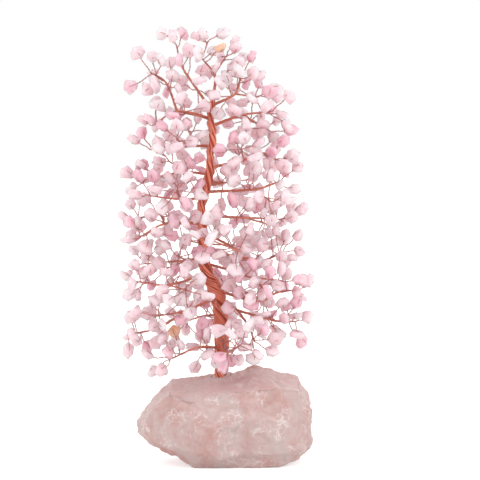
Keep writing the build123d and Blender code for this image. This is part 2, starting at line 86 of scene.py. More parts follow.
# Limbs: height share where each leaves the trunk, then its hubs: place in shares, number of stems and
# the hub it grows from, counted from 1, or 0 for the trunk
LIMB_SHARES = [
    (0.07, [(-0.22, -0.28, 0.08, 7, 0), (-0.50, -0.12, 0.04, 8, 1)]),
    (0.12, [(0.05, -0.42, 0.07, 7, 0), (0.20, -0.66, 0.10, 7, 1)]),
    (0.16, [(-0.18, 0.45, 0.15, 6, 0), (-0.42, 0.68, 0.12, 6, 1), (-0.02, 0.80, 0.14, 7, 1)]),
    (0.20, [(0.16, -0.03, 0.18, 0, 0), (0.27, -0.22, 0.14, 3, 1), (0.33, -0.40, 0.10, 7, 2),
            (0.54, -0.08, 0.15, 6, 1), (0.74, -0.10, 0.15, 7, 4)]),
    (0.21, [(-0.35, -0.12, 0.18, 2, 0), (-0.62, -0.30, 0.17, 7, 1), (-0.60, -0.02, 0.13, 5, 1),
            (-0.91, -0.12, 0.11, 8, 3)]),
    (0.23, [(0.36, -0.20, 0.21, 5, 0), (0.56, 0.02, 0.23, 6, 1), (0.77, -0.05, 0.24, 7, 2)]),
    (0.25, [(0.22, 0.45, 0.22, 6, 0), (0.50, 0.66, 0.18, 7, 1), (0.10, 0.78, 0.25, 6, 1)]),
    (0.28, [(-0.50, -0.35, 0.26, 7, 0), (-0.81, -0.35, 0.27, 7, 1), (-0.30, -0.62, 0.25, 6, 1)]),
    (0.31, [(0.28, -0.25, 0.28, 3, 0), (0.42, -0.42, 0.25, 6, 1), (0.58, -0.22, 0.27, 7, 1)]),
    (0.33, [(-0.33, 0.12, 0.32, 2, 0), (-0.56, 0.32, 0.29, 7, 1), (-0.80, 0.08, 0.31, 7, 1),
            (-0.42, -0.24, 0.34, 5, 1)]),
    (0.35, [(0.20, 0.05, 0.33, 0, 0), (0.42, 0.17, 0.32, 7, 1), (0.61, -0.04, 0.35, 8, 2)]),
    (0.37, [(-0.12, 0.48, 0.36, 6, 0), (-0.42, 0.70, 0.37, 6, 1), (0.14, 0.82, 0.35, 6, 1)]),
    (0.40, [(0.19, -0.55, 0.36, 7, 0), (-0.15, -0.62, 0.40, 7, 1)]),
    (0.43, [(-0.55, -0.18, 0.43, 6, 0), (-0.80, -0.25, 0.39, 7, 1), (-0.60, 0.30, 0.45, 5, 1),
            (-0.85, 0.12, 0.44, 6, 3)]),
    (0.45, [(0.24, -0.28, 0.45, 6, 0), (0.60, 0.04, 0.44, 8, 1), (0.45, 0.46, 0.42, 7, 1)]),
    (0.50, [(-0.40, -0.10, 0.50, 2, 0), (-0.69, -0.12, 0.51, 8, 1), (-0.42, -0.48, 0.53, 7, 1)]),
    (0.52, [(0.34, -0.22, 0.53, 6, 0), (0.58, 0.04, 0.55, 8, 1), (0.48, -0.50, 0.50, 6, 1)]),
    (0.54, [(0.02, 0.46, 0.54, 6, 0), (-0.35, 0.62, 0.55, 6, 1), (0.34, 0.62, 0.55, 6, 1)]),
    (0.57, [(-0.35, 0.05, 0.58, 2, 0), (-0.50, -0.22, 0.61, 6, 1), (-0.78, 0.08, 0.55, 8, 1)]),
    (0.59, [(0.22, 0.02, 0.61, 2, 0), (0.40, 0.16, 0.63, 5, 1), (0.56, 0.10, 0.61, 8, 2),
            (0.20, -0.40, 0.65, 7, 1)]),
    (0.65, [(-0.28, 0.05, 0.65, 2, 0), (-0.69, 0.10, 0.64, 8, 1), (-0.42, -0.30, 0.67, 7, 1),
            (-0.30, 0.44, 0.69, 6, 1)]),
    (0.71, [(0.22, -0.02, 0.74, 3, 0), (0.50, -0.10, 0.75, 8, 1), (0.50, 0.06, 0.69, 7, 1),
            (0.30, 0.40, 0.72, 7, 1)]),
    (0.73, [(-0.42, -0.12, 0.75, 7, 0), (-0.66, 0.06, 0.71, 7, 1), (-0.53, 0.12, 0.83, 6, 1),
            (-0.68, 0.05, 0.86, 6, 3)]),
    (0.76, [(-0.27, 0.02, 0.83, 5, 0), (-0.38, 0.02, 0.88, 6, 1), (-0.43, 0.00, 0.94, 5, 2)]),
    (0.77, [(0.14, -0.16, 0.80, 6, 0), (0.20, 0.02, 0.85, 7, 1), (0.36, 0.14, 0.79, 6, 1)]),
    (0.81, [(-0.06, 0.06, 0.855, 5, 0), (-0.18, -0.10, 0.90, 6, 1), (0.06, 0.06, 0.91, 5, 1),
            (-0.12, -0.04, 0.95, 3, 2)]),
]

# The few peach chips: sideways place and height
PEACH_AT = ((1.5 * MM, 266 * MM), (3.4 * MM, 261 * MM), (-24 * MM, 86 * MM))

TRUNK_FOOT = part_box("trunk_strands")[0].z
FOOT = TRUNK_FOOT + SOCKET_DEPTH - GLUE_FLOOR
TRUNK_TOP = FOOT + TRUNK_SHARES[-1][0] * TREE_HEIGHT

# CAD solids: distance within which corners are one, and the triangles of a stem's three-sided bar
MERGE = 0.002 * MM
STEM_TRIANGLES = 8

# Roots of the limbs: distance below the place where a limb leaves the trunk, and its depth under the
# trunk's surface there. The last limb stands on the trunk's top, and its root starts below that.
ROOT_CLIMB = ((10 * MM, 1.5 * MM), (7 * MM, 0.4 * MM), (3 * MM, -0.1 * MM), (0, 0.3 * MM))
CROWN_ROOT = 6 * MM

# Bundles: turn from each wire to the next, how many wires lie round the bundle for each wire's width in
# its radius, a quarter more than fit side by side, the reach of a wire that finds no room there, and what
# the turns are multiplied by so that neighbours differ in shade
GOLDEN_SHARE = (math.sqrt(5) - 1) / 2
ROUND_FIT = math.tau * 1.25
INNER_REACH = 0.55
PLY_SPREAD = 17.0

# Trunk bundle: its wires, the distance between their rings, the plain middle's share of the thickness,
# lobes and their depth, and a pitch far longer than the tree, for wires that aren't twisted pairs
TRUNK_WIRES = 34
TRUNK_STEP = 1.6 * MM
MIDDLE_SHARE = 0.74
TRUNK_LOBES = 5.0
LOBE_DEPTH = 0.12
PLAIN_PITCH = 500 * MM

# Limb bundles: a limb's length is as brown as a stem at this radius, and redder over the same again
BROWN_RADIUS = 0.4 * MM

# Stems: how far they run back into the limb and into the chip, and their bow as a share of their length
STEM_ROOT = 3.0 * MM
STEM_SINK = 0.2 * MM
STEM_BOW = 0.07

# Loops of wire on the chips: how far they stand off where they are not in a hole
LOOP_RISE = 0.05 * MM

# Chips: how far the pebble is rounded from a six-sided disc towards a ball, how much more it narrows than
# its solid and how unevenly, and the tones of the last pink chip and of the peach ones
ROUNDNESS = 0.4
TAPER_GAIN = 1.6
TAPER_SPREAD = 0.45
LAST_PINK_TONE = 0.98
PEACH_TONE = 1.0
# Their lumps: how many lie along a half size, how far apart the tones set the chips in the noise, and
# the noise's mean, at which a chip neither swells nor dips
LUMP_SCALE = 1.0
TONE_SPREAD = 900.0
MEAN_SWELL = 0.52

# Wear of the block: spacing of its broad and lesser hollows, its ledges and chips, its grain and grit
BROAD, LESSER = 21 * MM, 9 * MM
LEDGES, FLAKES = 13 * MM, 6 * MM
GRAIN, GRIT = 4.6 * MM, 2.4 * MM
GRAIN_DEPTH = 0.42 * MM
# It fades towards the socket and the ground, and lifts no face by more than its proudest point
SOCKET_FADE = (7 * MM, 10 * MM)
GROUND_FADE = (0.2 * MM, 4.2 * MM)
PROUDEST = 0.2 * MM

# Glue: its sides, the radius and height from which the stone round it is felt for, the height of its
# waves and the most that its rim rises with the stone
GLUE_SIDES = 48
GLUE_REACH = 7.2 * MM
FEEL_FROM = 30 * MM
GLUE_WAVE = 0.13 * MM
GLUE_RIM = 0.3 * MM

# Seeds of what is random
GLUE_SEED, WIRE_SEED, CHIP_SEED, LUMP_SEED = 4, 21, 8, 3.0

# Stage: half width of the floor, the place that the lamps point at, and each lamp's place, size and
# power: a large soft one in front and above on the left, and a weaker one on the right
FLOOR_REACH = 6.0
LAMP_AIM = Vector((0, 0, 0.14))
LAMPS = {"key": ((-0.7, -1.1, 1.3), 1.2, 4.0), "fill": ((1.0, -0.8, 0.7), 1.2, 3.0)}

# Kinds of node that the trees use most, and the places of a Mix node's vectors and colours among its
# inputs, which share their names
MATH, VECTOR, RANGE = "ShaderNodeMath", "ShaderNodeVectorMath", "ShaderNodeMapRange"
NOISE, RAMP, MIX = "ShaderNodeTexNoise", "ShaderNodeValToRGB", "ShaderNodeMix"
FIRST_VECTOR, SECOND_VECTOR, FIRST_COLOUR, SECOND_COLOUR = 4, 5, 6, 7


def unit(vector):
    """Vector of length one."""
    return vector / np.linalg.norm(vector)


def risen(value, start, end):
    """Share that rises from 0 at the start to 1 at the end, and stays there beyond them."""
    return min(max((value - start) / (end - start), 0), 1)


def colour(code):
    """Linear colour of an sRGB hex value."""
    shares = [int(code[i:i + 2], 16) / 255 for i in (1, 3, 5)]
    return (*[s / 12.92 if s <= 0.04045 else ((s + 0.055) / 1.055) ** 2.4 for s in shares], 1.0)


def join(tree, node, inputs):
    """Gives a node's inputs, by name or in order, a value, a socket or another node's first output."""
    for key, value in inputs.items() if isinstance(inputs, dict) else enumerate(inputs):
        if isinstance(value, bpy.types.Node):
            value = next(socket for socket in value.outputs if socket.enabled)
        if isinstance(value, bpy.types.NodeSocket):
            tree.links.new(value, node.inputs[key])
        else:
            node.inputs[key].default_value = value


def add(tree, kind, inputs=(), stops=(), **settings):
    """A node with its settings and links, and the places and colours of its ramp if it has one."""
    made = tree.nodes.new(kind)
    for name, value in settings.items():
        setattr(made, name, value)
    join(tree, made, inputs)
    for i, (at, tone) in enumerate(stops):
        row = made.color_ramp.elements[i] if i < 2 else made.color_ramp.elements.new(at)
        row.position = at
        row.color = tone
    return made


# Sizes and colours that a user may change

def length(name, description, default):
    """A size in metres."""
    return bpy.props.FloatProperty(
        name=name, description=description, default=default, min=0, unit="LENGTH", precision=5)


def share(name, description, default):
    """A share from 0 to 1."""
    return bpy.props.FloatProperty(
        name=name, description=description, default=default, min=0, max=1, subtype="FACTOR")


def tint(name, description, code):
    """A colour."""
    return bpy.props.FloatVectorProperty(
        name=name, description=description, default=colour(code), size=4, min=0, max=1,
        subtype="COLOR")


class BlockLook(bpy.types.PropertyGroup):
    """Raw quartz block and the glue in its socket."""

    grain: length("Surface step", "Size of the smallest facet on the block", 1.1 * MM)
    hollow: length("Hollows", "Depth of the broad hollows that fractures leave", 1.5 * MM)
    ledge: length("Ledges", "Depth of the sharp ledges between fractures", 1.5 * MM)
    body_colour: tint("Body", "Dusty pink of the stone", "#D6BCB8")
    cloud_colour: tint("Clouds", "Rose brown of the cloudy patches", "#CF9F99")
    fleck_colour: tint("Flecks", "White of the fractures and flecks", "#F6ECEA")
    glue_colour: tint("Glue", "Set clear epoxy", "#E3C9C2")


class WireLook(bpy.types.PropertyGroup):
    """Trunk, limbs, stems and the loops on the chips."""

    trunk_wire: length("Trunk wire", "Thickness of one wire on the trunk", 1.05 * MM)
    pair: length("Pair", "Width of the twisted pair that a stem is", 0.95 * MM)
    loop_wire: length("Loop wire", "Thickness of the wire through a chip", 0.5 * MM)
    trunk_pitch: length("Trunk pitch", "Length of one turn of the wires on the trunk", 34 * MM)
    pair_pitch: length("Pair pitch", "Length of one turn of a twisted pair", 4.6 * MM)
    limb_pitch: length("Limb pitch", "Length of one turn of a limb's bundle", 15.0 * MM)
    step: length("Step", "Distance between a wire's rings", 0.9 * MM)
    copper_colour: tint("Copper", "Red copper of the trunk and limbs", "#FF9E82")
    stem_colour: tint("Stems", "Duller and browner copper of the thin stems", "#C88A8B")


class ChipLook(bpy.types.PropertyGroup):
    """Tumbled chips."""

    girth: bpy.props.FloatVectorProperty(
        name="Girth", description="Width, thickness and length of a chip against its CAD solid's flats",
        default=(1.48, 0.95, 1.3), min=0.8, max=1.6)
    lumps: share("Lumps", "Share by which a chip's outline swells and dips", 1.0)
    pink: tint("Pink", "Most chips", "#F7D8DD")
    deep: tint("Deep pink", "Deeper chips", "#EEBECA")
    pale: tint("Pale", "Nearly white chips", "#F1E2E5")
    peach: tint("Peach", "The few peach chips", "#EFC0A4")


class StageLook(bpy.types.PropertyGroup):
    """Floor, lamps and camera."""

    distance: length("Camera distance", "From the camera to the tree", 1450 * MM)
    view_width: length("View width", "Width that the camera sees at the tree", 307.2 * MM)
    centre_x: bpy.props.FloatProperty(
        name="Centre X", description="Sideways centre of the view", default=12.35 * MM, unit="LENGTH")
    centre_z: length("Centre Z", "Height of the view's centre", 143.4 * MM)
    tilt: bpy.props.FloatProperty(
        name="Tilt", description="How far the camera looks down", default=math.radians(4),
        subtype="ANGLE")
    floor_colour: tint("Floor", "Pale floor", "#F4F2F1")


LOOKS = {
    "gem_tree_block": BlockLook, "gem_tree_wires": WireLook, "gem_tree_chips": ChipLook,
    "gem_tree_stage": StageLook,
}


# The tree's form

def trunk_at(z):
    """Centre and radius of the trunk at a height."""
    shares = np.array(TRUNK_SHARES)
    level = (z - FOOT) / TREE_HEIGHT
    x = np.interp(level, shares[:, 0], shares[:, 1]) * CANOPY_WIDTH / 2
    y = np.interp(level, shares[:, 0], shares[:, 2]) * CANOPY_DEPTH / 2
    radius = np.interp(level, shares[:, 0], shares[:, 3]) * TRUNK_DIAMETER / 2
    return np.array([x, y, z]), radius


def twist_at(z):
    """Angle that the trunk's strands have turned through at a height."""
    return math.tau * (z - TRUNK_FOOT) / TRUNK_PITCH


def bundle_radius(stems):
    """Radius of a limb where it holds the wires of so many stems."""
    filled = math.sqrt(stems / LIMB_STEMS)
    return (STEM_DIAMETER + (LIMB_DIAMETER - STEM_DIAMETER) * filled) / 2


def place(hub):
    """Place of a hub in metres."""
    x, y, z = hub[:3]
    return np.array([x * CANOPY_WIDTH / 2, y * CANOPY_DEPTH / 2, FOOT + z * TREE_HEIGHT])


def stems_beyond(hubs, number):
    """Stems that a hub carries, with those of the hubs that grow from it."""
    further = [i for i, hub in enumerate(hubs, start=1) if hub[4] == number]
    return hubs[number - 1][3] + sum(stems_beyond(hubs, i) for i in further)


def limb_root(leave, hubs):
    """Path of a limb's wires where they climb the trunk with its twist, up to where they leave it."""
    z = FOOT + leave * TREE_HEIGHT
    centre = trunk_at(z)[0]
    if z >= TRUNK_TOP:
        return [trunk_at(z - CROWN_ROOT)[0], centre]
    out = place(hubs[0]) - centre
    apart = math.tau / STRANDS
    strand = round((math.atan2(out[1], out[0]) - twist_at(z)) / apart)
    turn = twist_at(z) + strand * apart
    pitch = bpy.context.scene.gem_tree_wires.trunk_pitch
    path = []
    for back, sink in ROOT_CLIMB:
        middle, radius = trunk_at(z - back)
        angle = turn + math.tau * back / pitch
        path.append(middle + (radius - sink) * np.array([math.cos(angle), math.sin(angle), 0]))
    return path


def limb_chains(leave, hubs):
    """Unforked lengths of a limb: the points of each and its radii there."""
    chains = []
    for number, hub in enumerate(hubs, start=1):
        radius = bundle_radius(stems_beyond(hubs, number))
        if number > 1 and hub[4] == number - 1:
            points, radii = chains[-1]
            radii[-1] = radius
        else:
            points = limb_root(leave, hubs) if hub[4] == 0 else [place(hubs[hub[4] - 1])]
            radii = [radius] * len(points)
            chains.append((points, radii))
        points.append(place(hub))
        radii.append(bundle_radius(hub[3] * TIP_SHARE))
    return chains


def merged(node):
    """Copy of a CAD node's mesh with its loose triangles joined."""
    mesh = bmesh.new()
    mesh.from_mesh(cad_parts[node].data)
    bmesh.ops.remove_doubles(mesh, verts=mesh.verts, dist=MERGE)
    return mesh


def solids_of(node):
    """Triangles of each separate solid of a CAD node, as lists of three corners."""
    mesh = merged(node)
    seen, solids = set(), []
    for first in mesh.faces:
        if first in seen:
            continue
        seen.add(first)
        stack, triangles = [first], []
        while stack:
            face = stack.pop()
            triangles.append([tuple(corner.co) for corner in face.verts])
            for other in (other for edge in face.edges for other in edge.link_faces):
                if other not in seen:
                    seen.add(other)
                    stack.append(other)
        solids.append(triangles)
    mesh.free()
    return solids


def stem_ends(triangles):
    """Middles of the two ends of a stem's solid, which are its smallest triangles."""
    def girth(triangle):
        a, b, c = (Vector(corner) for corner in triangle)
        return (a - b).length + (b - c).length + (c - a).length
    return [np.mean(triangle, axis=0) for triangle in sorted(triangles, key=girth)[:2]]


def chip_ends(triangles):
    """Corners of the two flat ends of a chip's solid: the pairs of neighbours that lie in one plane."""
    ways = [unit(np.cross(np.subtract(b, a), np.subtract(c, a))) for a, b, c in triangles]
    pairs = [
        (ways[i] @ ways[j], i, j)
        for i in range(len(triangles)) for j in range(i)
        if len(set(triangles[i]) & set(triangles[j])) == 2
    ]
    flat = sorted(pairs, reverse=True)[:2]
    return [np.array(sorted(set(triangles[i]) | set(triangles[j]))) for _, i, j in flat]


def flat_frame(ring):
    """Way that a chip's flat end is widest, and its half width and half thickness."""
    spread = ring - ring.mean(axis=0)
    values, ways = np.linalg.eigh(spread.T @ spread)
    return ways[:, 2], math.sqrt(values[2] / 2), math.sqrt(values[1] / 2)


def chips_of(number):
    """Chips of a limb with their stems: base and end of the stem, and the chip's frame and half sizes."""
    girth = np.array(bpy.context.scene.gem_tree_chips.girth)
    stems = [
        stem_ends(solid) for solid in solids_of(f"limb_{number:02d}_wires")
        if len(solid) == STEM_TRIANGLES
    ]
    found = []
    for triangles in solids_of(f"limb_{number:02d}_chips"):
        ends = chip_ends(triangles)
        _, low, base, end = min(
            ((np.linalg.norm(ends[i].mean(axis=0) - stem[j]), i, stem[1 - j], stem[j])
             for i in (0, 1) for stem in stems for j in (0, 1)), key=lambda row: row[0])
        start, tip = ends[low].mean(axis=0), ends[1 - low].mean(axis=0)
        way, width, thickness = flat_frame(ends[low])
        _, tip_width, tip_thickness = flat_frame(ends[1 - low])
        axis = unit(tip - start)
        side = unit(way - (way @ axis) * axis)
        half = np.linalg.norm(tip - start) / 2
        found.append({
            "base": base, "end": end, "heart": (tip + start) / 2,
            "side": side, "back": np.cross(axis, side), "axis": axis,
            "half": girth * [max(width, tip_width), max(thickness, tip_thickness), half],
            "taper": (tip_width - width) / (tip_width + width),
        })
    return found


# Meshes and objects

def put(name, data):
    """New object in the scene."""
    made = bpy.data.objects.new(name, data)
    bpy.context.scene.collection.objects.link(made)
    return made


def settled(name, carrier):
    """Plain mesh of an object whose modifiers have been applied. The object and its own mesh go."""
    graph = bpy.context.evaluated_depsgraph_get()
    made = bpy.data.meshes.new_from_object(carrier.evaluated_get(graph), depsgraph=graph)
    made.name = name
    first = carrier.data
    carrier.modifiers.clear()
    bpy.data.objects.remove(carrier)
    bpy.data.meshes.remove(first)
    return made


def mark(mesh, rows):
    """Gives the points of a mesh their attributes: numbers, or sets of three."""
    for key, row in rows.items():
        values = np.array(row, np.float32)
        kind, field = ("FLOAT_VECTOR", "vector") if values.ndim == 2 else ("FLOAT", "value")
        mesh.attributes.new(key, kind, "POINT").data.foreach_set(field, values.ravel())


def traced(name, runs):
    """Mesh of edges along runs of points. Each run gives its points, then its attributes by name."""
    corners, edges, values = [], [], {}
    for points, attributes in runs:
        first = len(corners)
        corners += [tuple(point) for point in points]
        edges += [(first + i, first + i + 1) for i in range(len(points) - 1)]
        for key, value in attributes.items():
            values.setdefault(key, []).extend(np.broadcast_to(value, len(points)))
    mesh = bpy.data.meshes.new(name)
    mesh.from_pydata(corners, edges, [])
    mark(mesh, values)
    return mesh


def grown(name, mesh, tree, **inputs):
    """Plain mesh that a geometry tree makes from another mesh."""
    carrier = put(name, mesh)
    modifier = carrier.modifiers.new(tree.name, "NODES")
    modifier.node_group = tree
    sockets = {item.name: item.identifier for item in tree.interface.items_tree}
    for key, value in inputs.items():
        modifier[sockets[key.replace("_", " ").capitalize()]] = value
    return settled(name, carrier)


def shown(name, mesh, material, slot, *nodes):
    """Finished piece that stands for CAD nodes."""
    mesh.materials.clear()
    mesh.materials.append(material)
    piece = put(name, mesh)
    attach(piece, "root")
    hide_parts(*nodes)
    return piece


# Geometry trees

def new_tree(name, **sockets):
    """Geometry tree with named inputs, and the outputs of its input node."""
    tree = bpy.data.node_groups.new(name, "GeometryNodeTree")
    tree.is_modifier = True
    tree.interface.new_socket("Geometry", in_out="INPUT", socket_type="NodeSocketGeometry")
    tree.interface.new_socket("Geometry", in_out="OUTPUT", socket_type="NodeSocketGeometry")
    for key, kind in sockets.items():
        tree.interface.new_socket(
            key.replace("_", " ").capitalize(), in_out="INPUT", socket_type="NodeSocket" + kind)
    return tree, add(tree, "NodeGroupInput").outputs


def wires_tree():
    """Twisted wires: every run of the mesh becomes a bundle of wires laid round its smooth path."""
    tree, given = new_tree(
        "Twisted wires", step="Float", pitch="Float", pair_pitch="Float", sides="Int",
        flatness="Float", lobes="Float", lobe_depth="Float", material="Material")
    thick, wire, amount = (
        add(tree, "GeometryNodeInputNamedAttribute", {"Name": name}, data_type="FLOAT")
        for name in ("thick", "wire", "strands"))
    curve = add(tree, "GeometryNodeMeshToCurve", {"Mesh": given["Geometry"]})
    smooth = add(tree, "GeometryNodeCurveSplineType", {"Curve": curve}, spline_type="CATMULL_ROM")
    rings = add(tree, "GeometryNodeResampleCurve", {"Curve": smooth, "Length": given["Step"]}, mode="LENGTH")
    copies = add(tree, "GeometryNodeDuplicateElements", {"Geometry": rings, "Amount": amount},
                 domain="SPLINE")
    number = copies.outputs["Duplicate Index"]
    # Each wire starts at its own turn and winds on round the path
    spread = add(tree, MATH, [number, GOLDEN_SHARE], operation="MULTIPLY")
    turn = add(tree, MATH, [spread], operation="FRACT")
    along = add(tree, "GeometryNodeSplineParameter").outputs["Length"]
    wound = add(tree, MATH, [along, given["Pitch"]], operation="DIVIDE")
    turned = add(tree, MATH, [turn, wound], operation="ADD")
    angle = add(tree, MATH, [turned, math.tau], operation="MULTIPLY")
    # Its centre lies half a wire under the bundle's surface
    wider = add(tree, MATH, [thick, wire], operation="SUBTRACT")
    under = add(tree, MATH, [wider, 0.5], operation="MULTIPLY")
    lay = add(tree, MATH, [under, 0.0], operation="MAXIMUM")
    # Wires that find no room there lie deeper
    ring = add(tree, MATH, [lay, ROUND_FIT], operation="MULTIPLY")
    room = add(tree, MATH, [ring, wire], operation="DIVIDE")
    left = add(tree, MATH, [room, number], operation="SUBTRACT")
    fits = add(tree, RANGE, {"Value": left, "To Min": INNER_REACH})
    # The bundle dips between its lobes
    start = add(tree, MATH, [turn, math.tau], operation="MULTIPLY")
    lobed = add(tree, MATH, [start, given["Lobes"]], operation="MULTIPLY")
    wave = add(tree, MATH, [lobed], operation="COSINE")
    fall = add(tree, MATH, [1.0, wave], operation="SUBTRACT")
    half_fall = add(tree, MATH, [fall, 0.5], operation="MULTIPLY")
    dip = add(tree, MATH, [half_fall, given["Lobe depth"]], operation="MULTIPLY")
    lobe = add(tree, MATH, [1.0, dip], operation="SUBTRACT")
    fitted = add(tree, MATH, [lay, fits], operation="MULTIPLY")
    reach = add(tree, MATH, [fitted, lobe], operation="MULTIPLY")
    normal = add(tree, "GeometryNodeInputNormal")
    tangent = add(tree, "GeometryNodeInputTangent")
    across = add(tree, VECTOR, [tangent, normal], operation="CROSS_PRODUCT")
    arms = []
    for swing, way in (("COSINE", normal), ("SINE", across)):
        part = add(tree, MATH, [angle], operation=swing)
        size = add(tree, MATH, [reach, part], operation="MULTIPLY")
        arms.append(add(tree, VECTOR, {0: way, "Scale": size}, operation="SCALE"))
    offset = add(tree, VECTOR, arms, operation="ADD")
    laid = add(tree, "GeometryNodeSetPosition", {"Geometry": copies, "Offset": offset})
    # A number of its own for each wire, from 0 to 1, for its shade
    mixed = add(tree, MATH, [turn, PLY_SPREAD], operation="MULTIPLY")
    ply = add(tree, MATH, [mixed], operation="FRACT")
    marked = add(tree, "GeometryNodeStoreNamedAttribute", {"Geometry": laid, "Name": "ply", "Value": ply},
                 data_type="FLOAT", domain="CURVE")
    # A flattened section that rolls along the wire reads as a twisted pair
    pair_turns = add(tree, MATH, [along, given["Pair pitch"]], operation="DIVIDE")
    roll = add(tree, MATH, [pair_turns, math.tau], operation="MULTIPLY")
    rolled = add(tree, "GeometryNodeSetCurveTilt", {"Curve": marked, "Tilt": roll})
    circle = add(tree, "GeometryNodeCurvePrimitiveCircle", {"Resolution": given["Sides"], "Radius": 1.0})
    width = add(tree, "ShaderNodeCombineXYZ", [1.0, given["Flatness"], 1.0])
    section = add(tree, "GeometryNodeTransform", {"Geometry": circle, "Scale": width})
    radius = add(tree, MATH, [wire, 0.5], operation="MULTIPLY")
    skin = add(tree, "GeometryNodeCurveToMesh", {
        "Curve": rolled, "Profile Curve": section, "Fill Caps": True, "Scale": radius})
    soft = add(tree, "GeometryNodeSetShadeSmooth", {"Geometry": skin})
    plain = add(tree, "GeometryNodeRealizeInstances", {"Geometry": soft})
    dressed = add(tree, "GeometryNodeSetMaterial", {"Geometry": plain, "Material": given["Material"]})
    add(tree, "NodeGroupOutput", [dressed])
    return tree


def pebbles_tree():
    """Tumbled chips: a rounded pebble on every point, sized, turned and worn unevenly."""
    tree, given = new_tree(
        "Tumbled chips", roundness="Float", lumps="Float", lump_scale="Float", seed="Float",
        material="Material")
    turn, half, heart, axis, spot = (
        add(tree, "GeometryNodeInputNamedAttribute", {"Name": name}, data_type="FLOAT_VECTOR")
        for name in ("turn", "half", "heart", "axis", "spot"))
    tone, taper = (
        add(tree, "GeometryNodeInputNamedAttribute", {"Name": name}, data_type="FLOAT")
        for name in ("tone", "taper"))
    here = add(tree, "GeometryNodeInputPosition")
    # One pebble: a six-sided disc, partly rounded, whose points remember their first places
    disc = add(tree, "GeometryNodeMeshCylinder", {
        "Vertices": 6, "Side Segments": 3, "Fill Segments": 1, "Radius": 1.0, "Depth": 2.0},
        fill_type="TRIANGLE_FAN")
    ball = add(tree, VECTOR, [here], operation="NORMALIZE")
    blend = add(tree, MIX, {0: given["Roundness"], FIRST_VECTOR: here, SECOND_VECTOR: ball},
                data_type="VECTOR")
    pebble = add(tree, "GeometryNodeSetPosition", {"Geometry": disc, "Position": blend})
    marked = add(tree, "GeometryNodeStoreNamedAttribute", {"Geometry": pebble, "Name": "spot", "Value": here},
                 data_type="FLOAT_VECTOR", domain="POINT")
    placed = add(tree, "GeometryNodeInstanceOnPoints", {
        "Points": given["Geometry"], "Instance": marked, "Rotation": turn, "Scale": half})
    plain = add(tree, "GeometryNodeRealizeInstances", {"Geometry": placed})
    # Each swells and dips in its own way, out from its heart
    apart = add(tree, MATH, [tone, TONE_SPREAD], operation="MULTIPLY")
    own = add(tree, MATH, [apart, given["Seed"]], operation="ADD")
    swell = add(tree, NOISE, {"Vector": spot, "W": own, "Scale": given["Lump scale"], "Detail": 1.0},
                noise_dimensions="4D")
    uneven = add(tree, MATH, [swell, MEAN_SWELL], operation="SUBTRACT")
    amount = add(tree, MATH, [uneven, given["Lumps"]], operation="MULTIPLY")
    arm = add(tree, VECTOR, [here, heart], operation="SUBTRACT")
    worn = add(tree, VECTOR, {0: arm, "Scale": amount}, operation="SCALE")
    # Each narrows along its axis as its CAD solid does, which gives it a blunt and a pointed end
    level = add(tree, VECTOR, [arm, axis], operation="DOT_PRODUCT")
    along = add(tree, VECTOR, {0: axis, "Scale": level}, operation="SCALE")
    aside = add(tree, VECTOR, [arm, along], operation="SUBTRACT")
    end = add(tree, "ShaderNodeSeparateXYZ", [spot]).outputs["X"]
    narrowing = add(tree, MATH, [end, taper], operation="MULTIPLY")
    drawn = add(tree, VECTOR, {0: aside, "Scale": narrowing}, operation="SCALE")
    moved = add(tree, VECTOR, [worn, drawn], operation="ADD")
    shaped = add(tree, "GeometryNodeSetPosition", {"Geometry": plain, "Offset": moved})
    soft = add(tree, "GeometryNodeSetShadeSmooth", {"Geometry": shaped})
    dressed = add(tree, "GeometryNodeSetMaterial", {"Geometry": soft, "Material": given["Material"]})
    add(tree, "NodeGroupOutput", [dressed])
    return tree


# Materials

def new_material(name):
    """Material with its tree, its shader and its object coordinates."""
    material = bpy.data.materials.new(name)
    material.use_nodes = True
    tree = material.node_tree
    shader = next(node for node in tree.nodes if node.type == "BSDF_PRINCIPLED")
    return material, tree, shader, add(tree, "ShaderNodeTexCoord").outputs["Object"]


def enamelled_copper():
    """Soft copper wire under clear enamel, drawn and twisted by hand: red, glossy, browner when thin."""
    look = bpy.context.scene.gem_tree_wires
    material, tree, shader, spot = new_material("enamelled copper wire")
    thick = add(tree, "ShaderNodeAttribute", attribute_name="tone").outputs["Fac"]
    warm = add(tree, MIX, {0: thick, FIRST_COLOUR: look.stem_colour, SECOND_COLOUR: look.copper_colour},
               data_type="RGBA")
    # Some of the trunk's wires lie deeper or are duller than their neighbours
    ply = add(tree, "ShaderNodeAttribute", attribute_name="ply").outputs["Fac"]
    dull = add(tree, RAMP, [ply], stops=[(0.25, colour("#BC8F85")), (0.45, colour("#FFFFFF"))])
    dulled = add(tree, MIX, {0: 1.0, FIRST_COLOUR: warm, SECOND_COLOUR: dull},
                 data_type="RGBA", blend_type="MULTIPLY")
    on_trunk = add(tree, RANGE, {"Value": thick, "From Min": 0.85})
    laid = add(tree, MIX, {0: on_trunk, FIRST_COLOUR: warm, SECOND_COLOUR: dulled}, data_type="RGBA")
    # Handling and heat leave patches a few millimetres long
    patches = add(tree, NOISE, {"Vector": spot, "Scale": 1 / (9 * MM), "Detail": 3.0})
    shade = add(tree, RAMP, [patches], stops=[(0.3, colour("#D2CAC8")), (0.65, colour("#FFFFFF"))])
    handled = add(tree, MIX, {0: 0.6, FIRST_COLOUR: laid, SECOND_COLOUR: shade},
                  data_type="RGBA", blend_type="MULTIPLY")
    # Drawing marks about 0.3 mm apart
    marks = add(tree, NOISE, {"Vector": spot, "Scale": 1 / (0.6 * MM), "Detail": 2.0})
    bump = add(tree, "ShaderNodeBump", {"Height": marks, "Strength": 0.25, "Distance": 0.05 * MM})
    join(tree, shader, {"Base Color": handled, "Metallic": 0.3, "Roughness": 0.34, "Normal": bump})
    return material


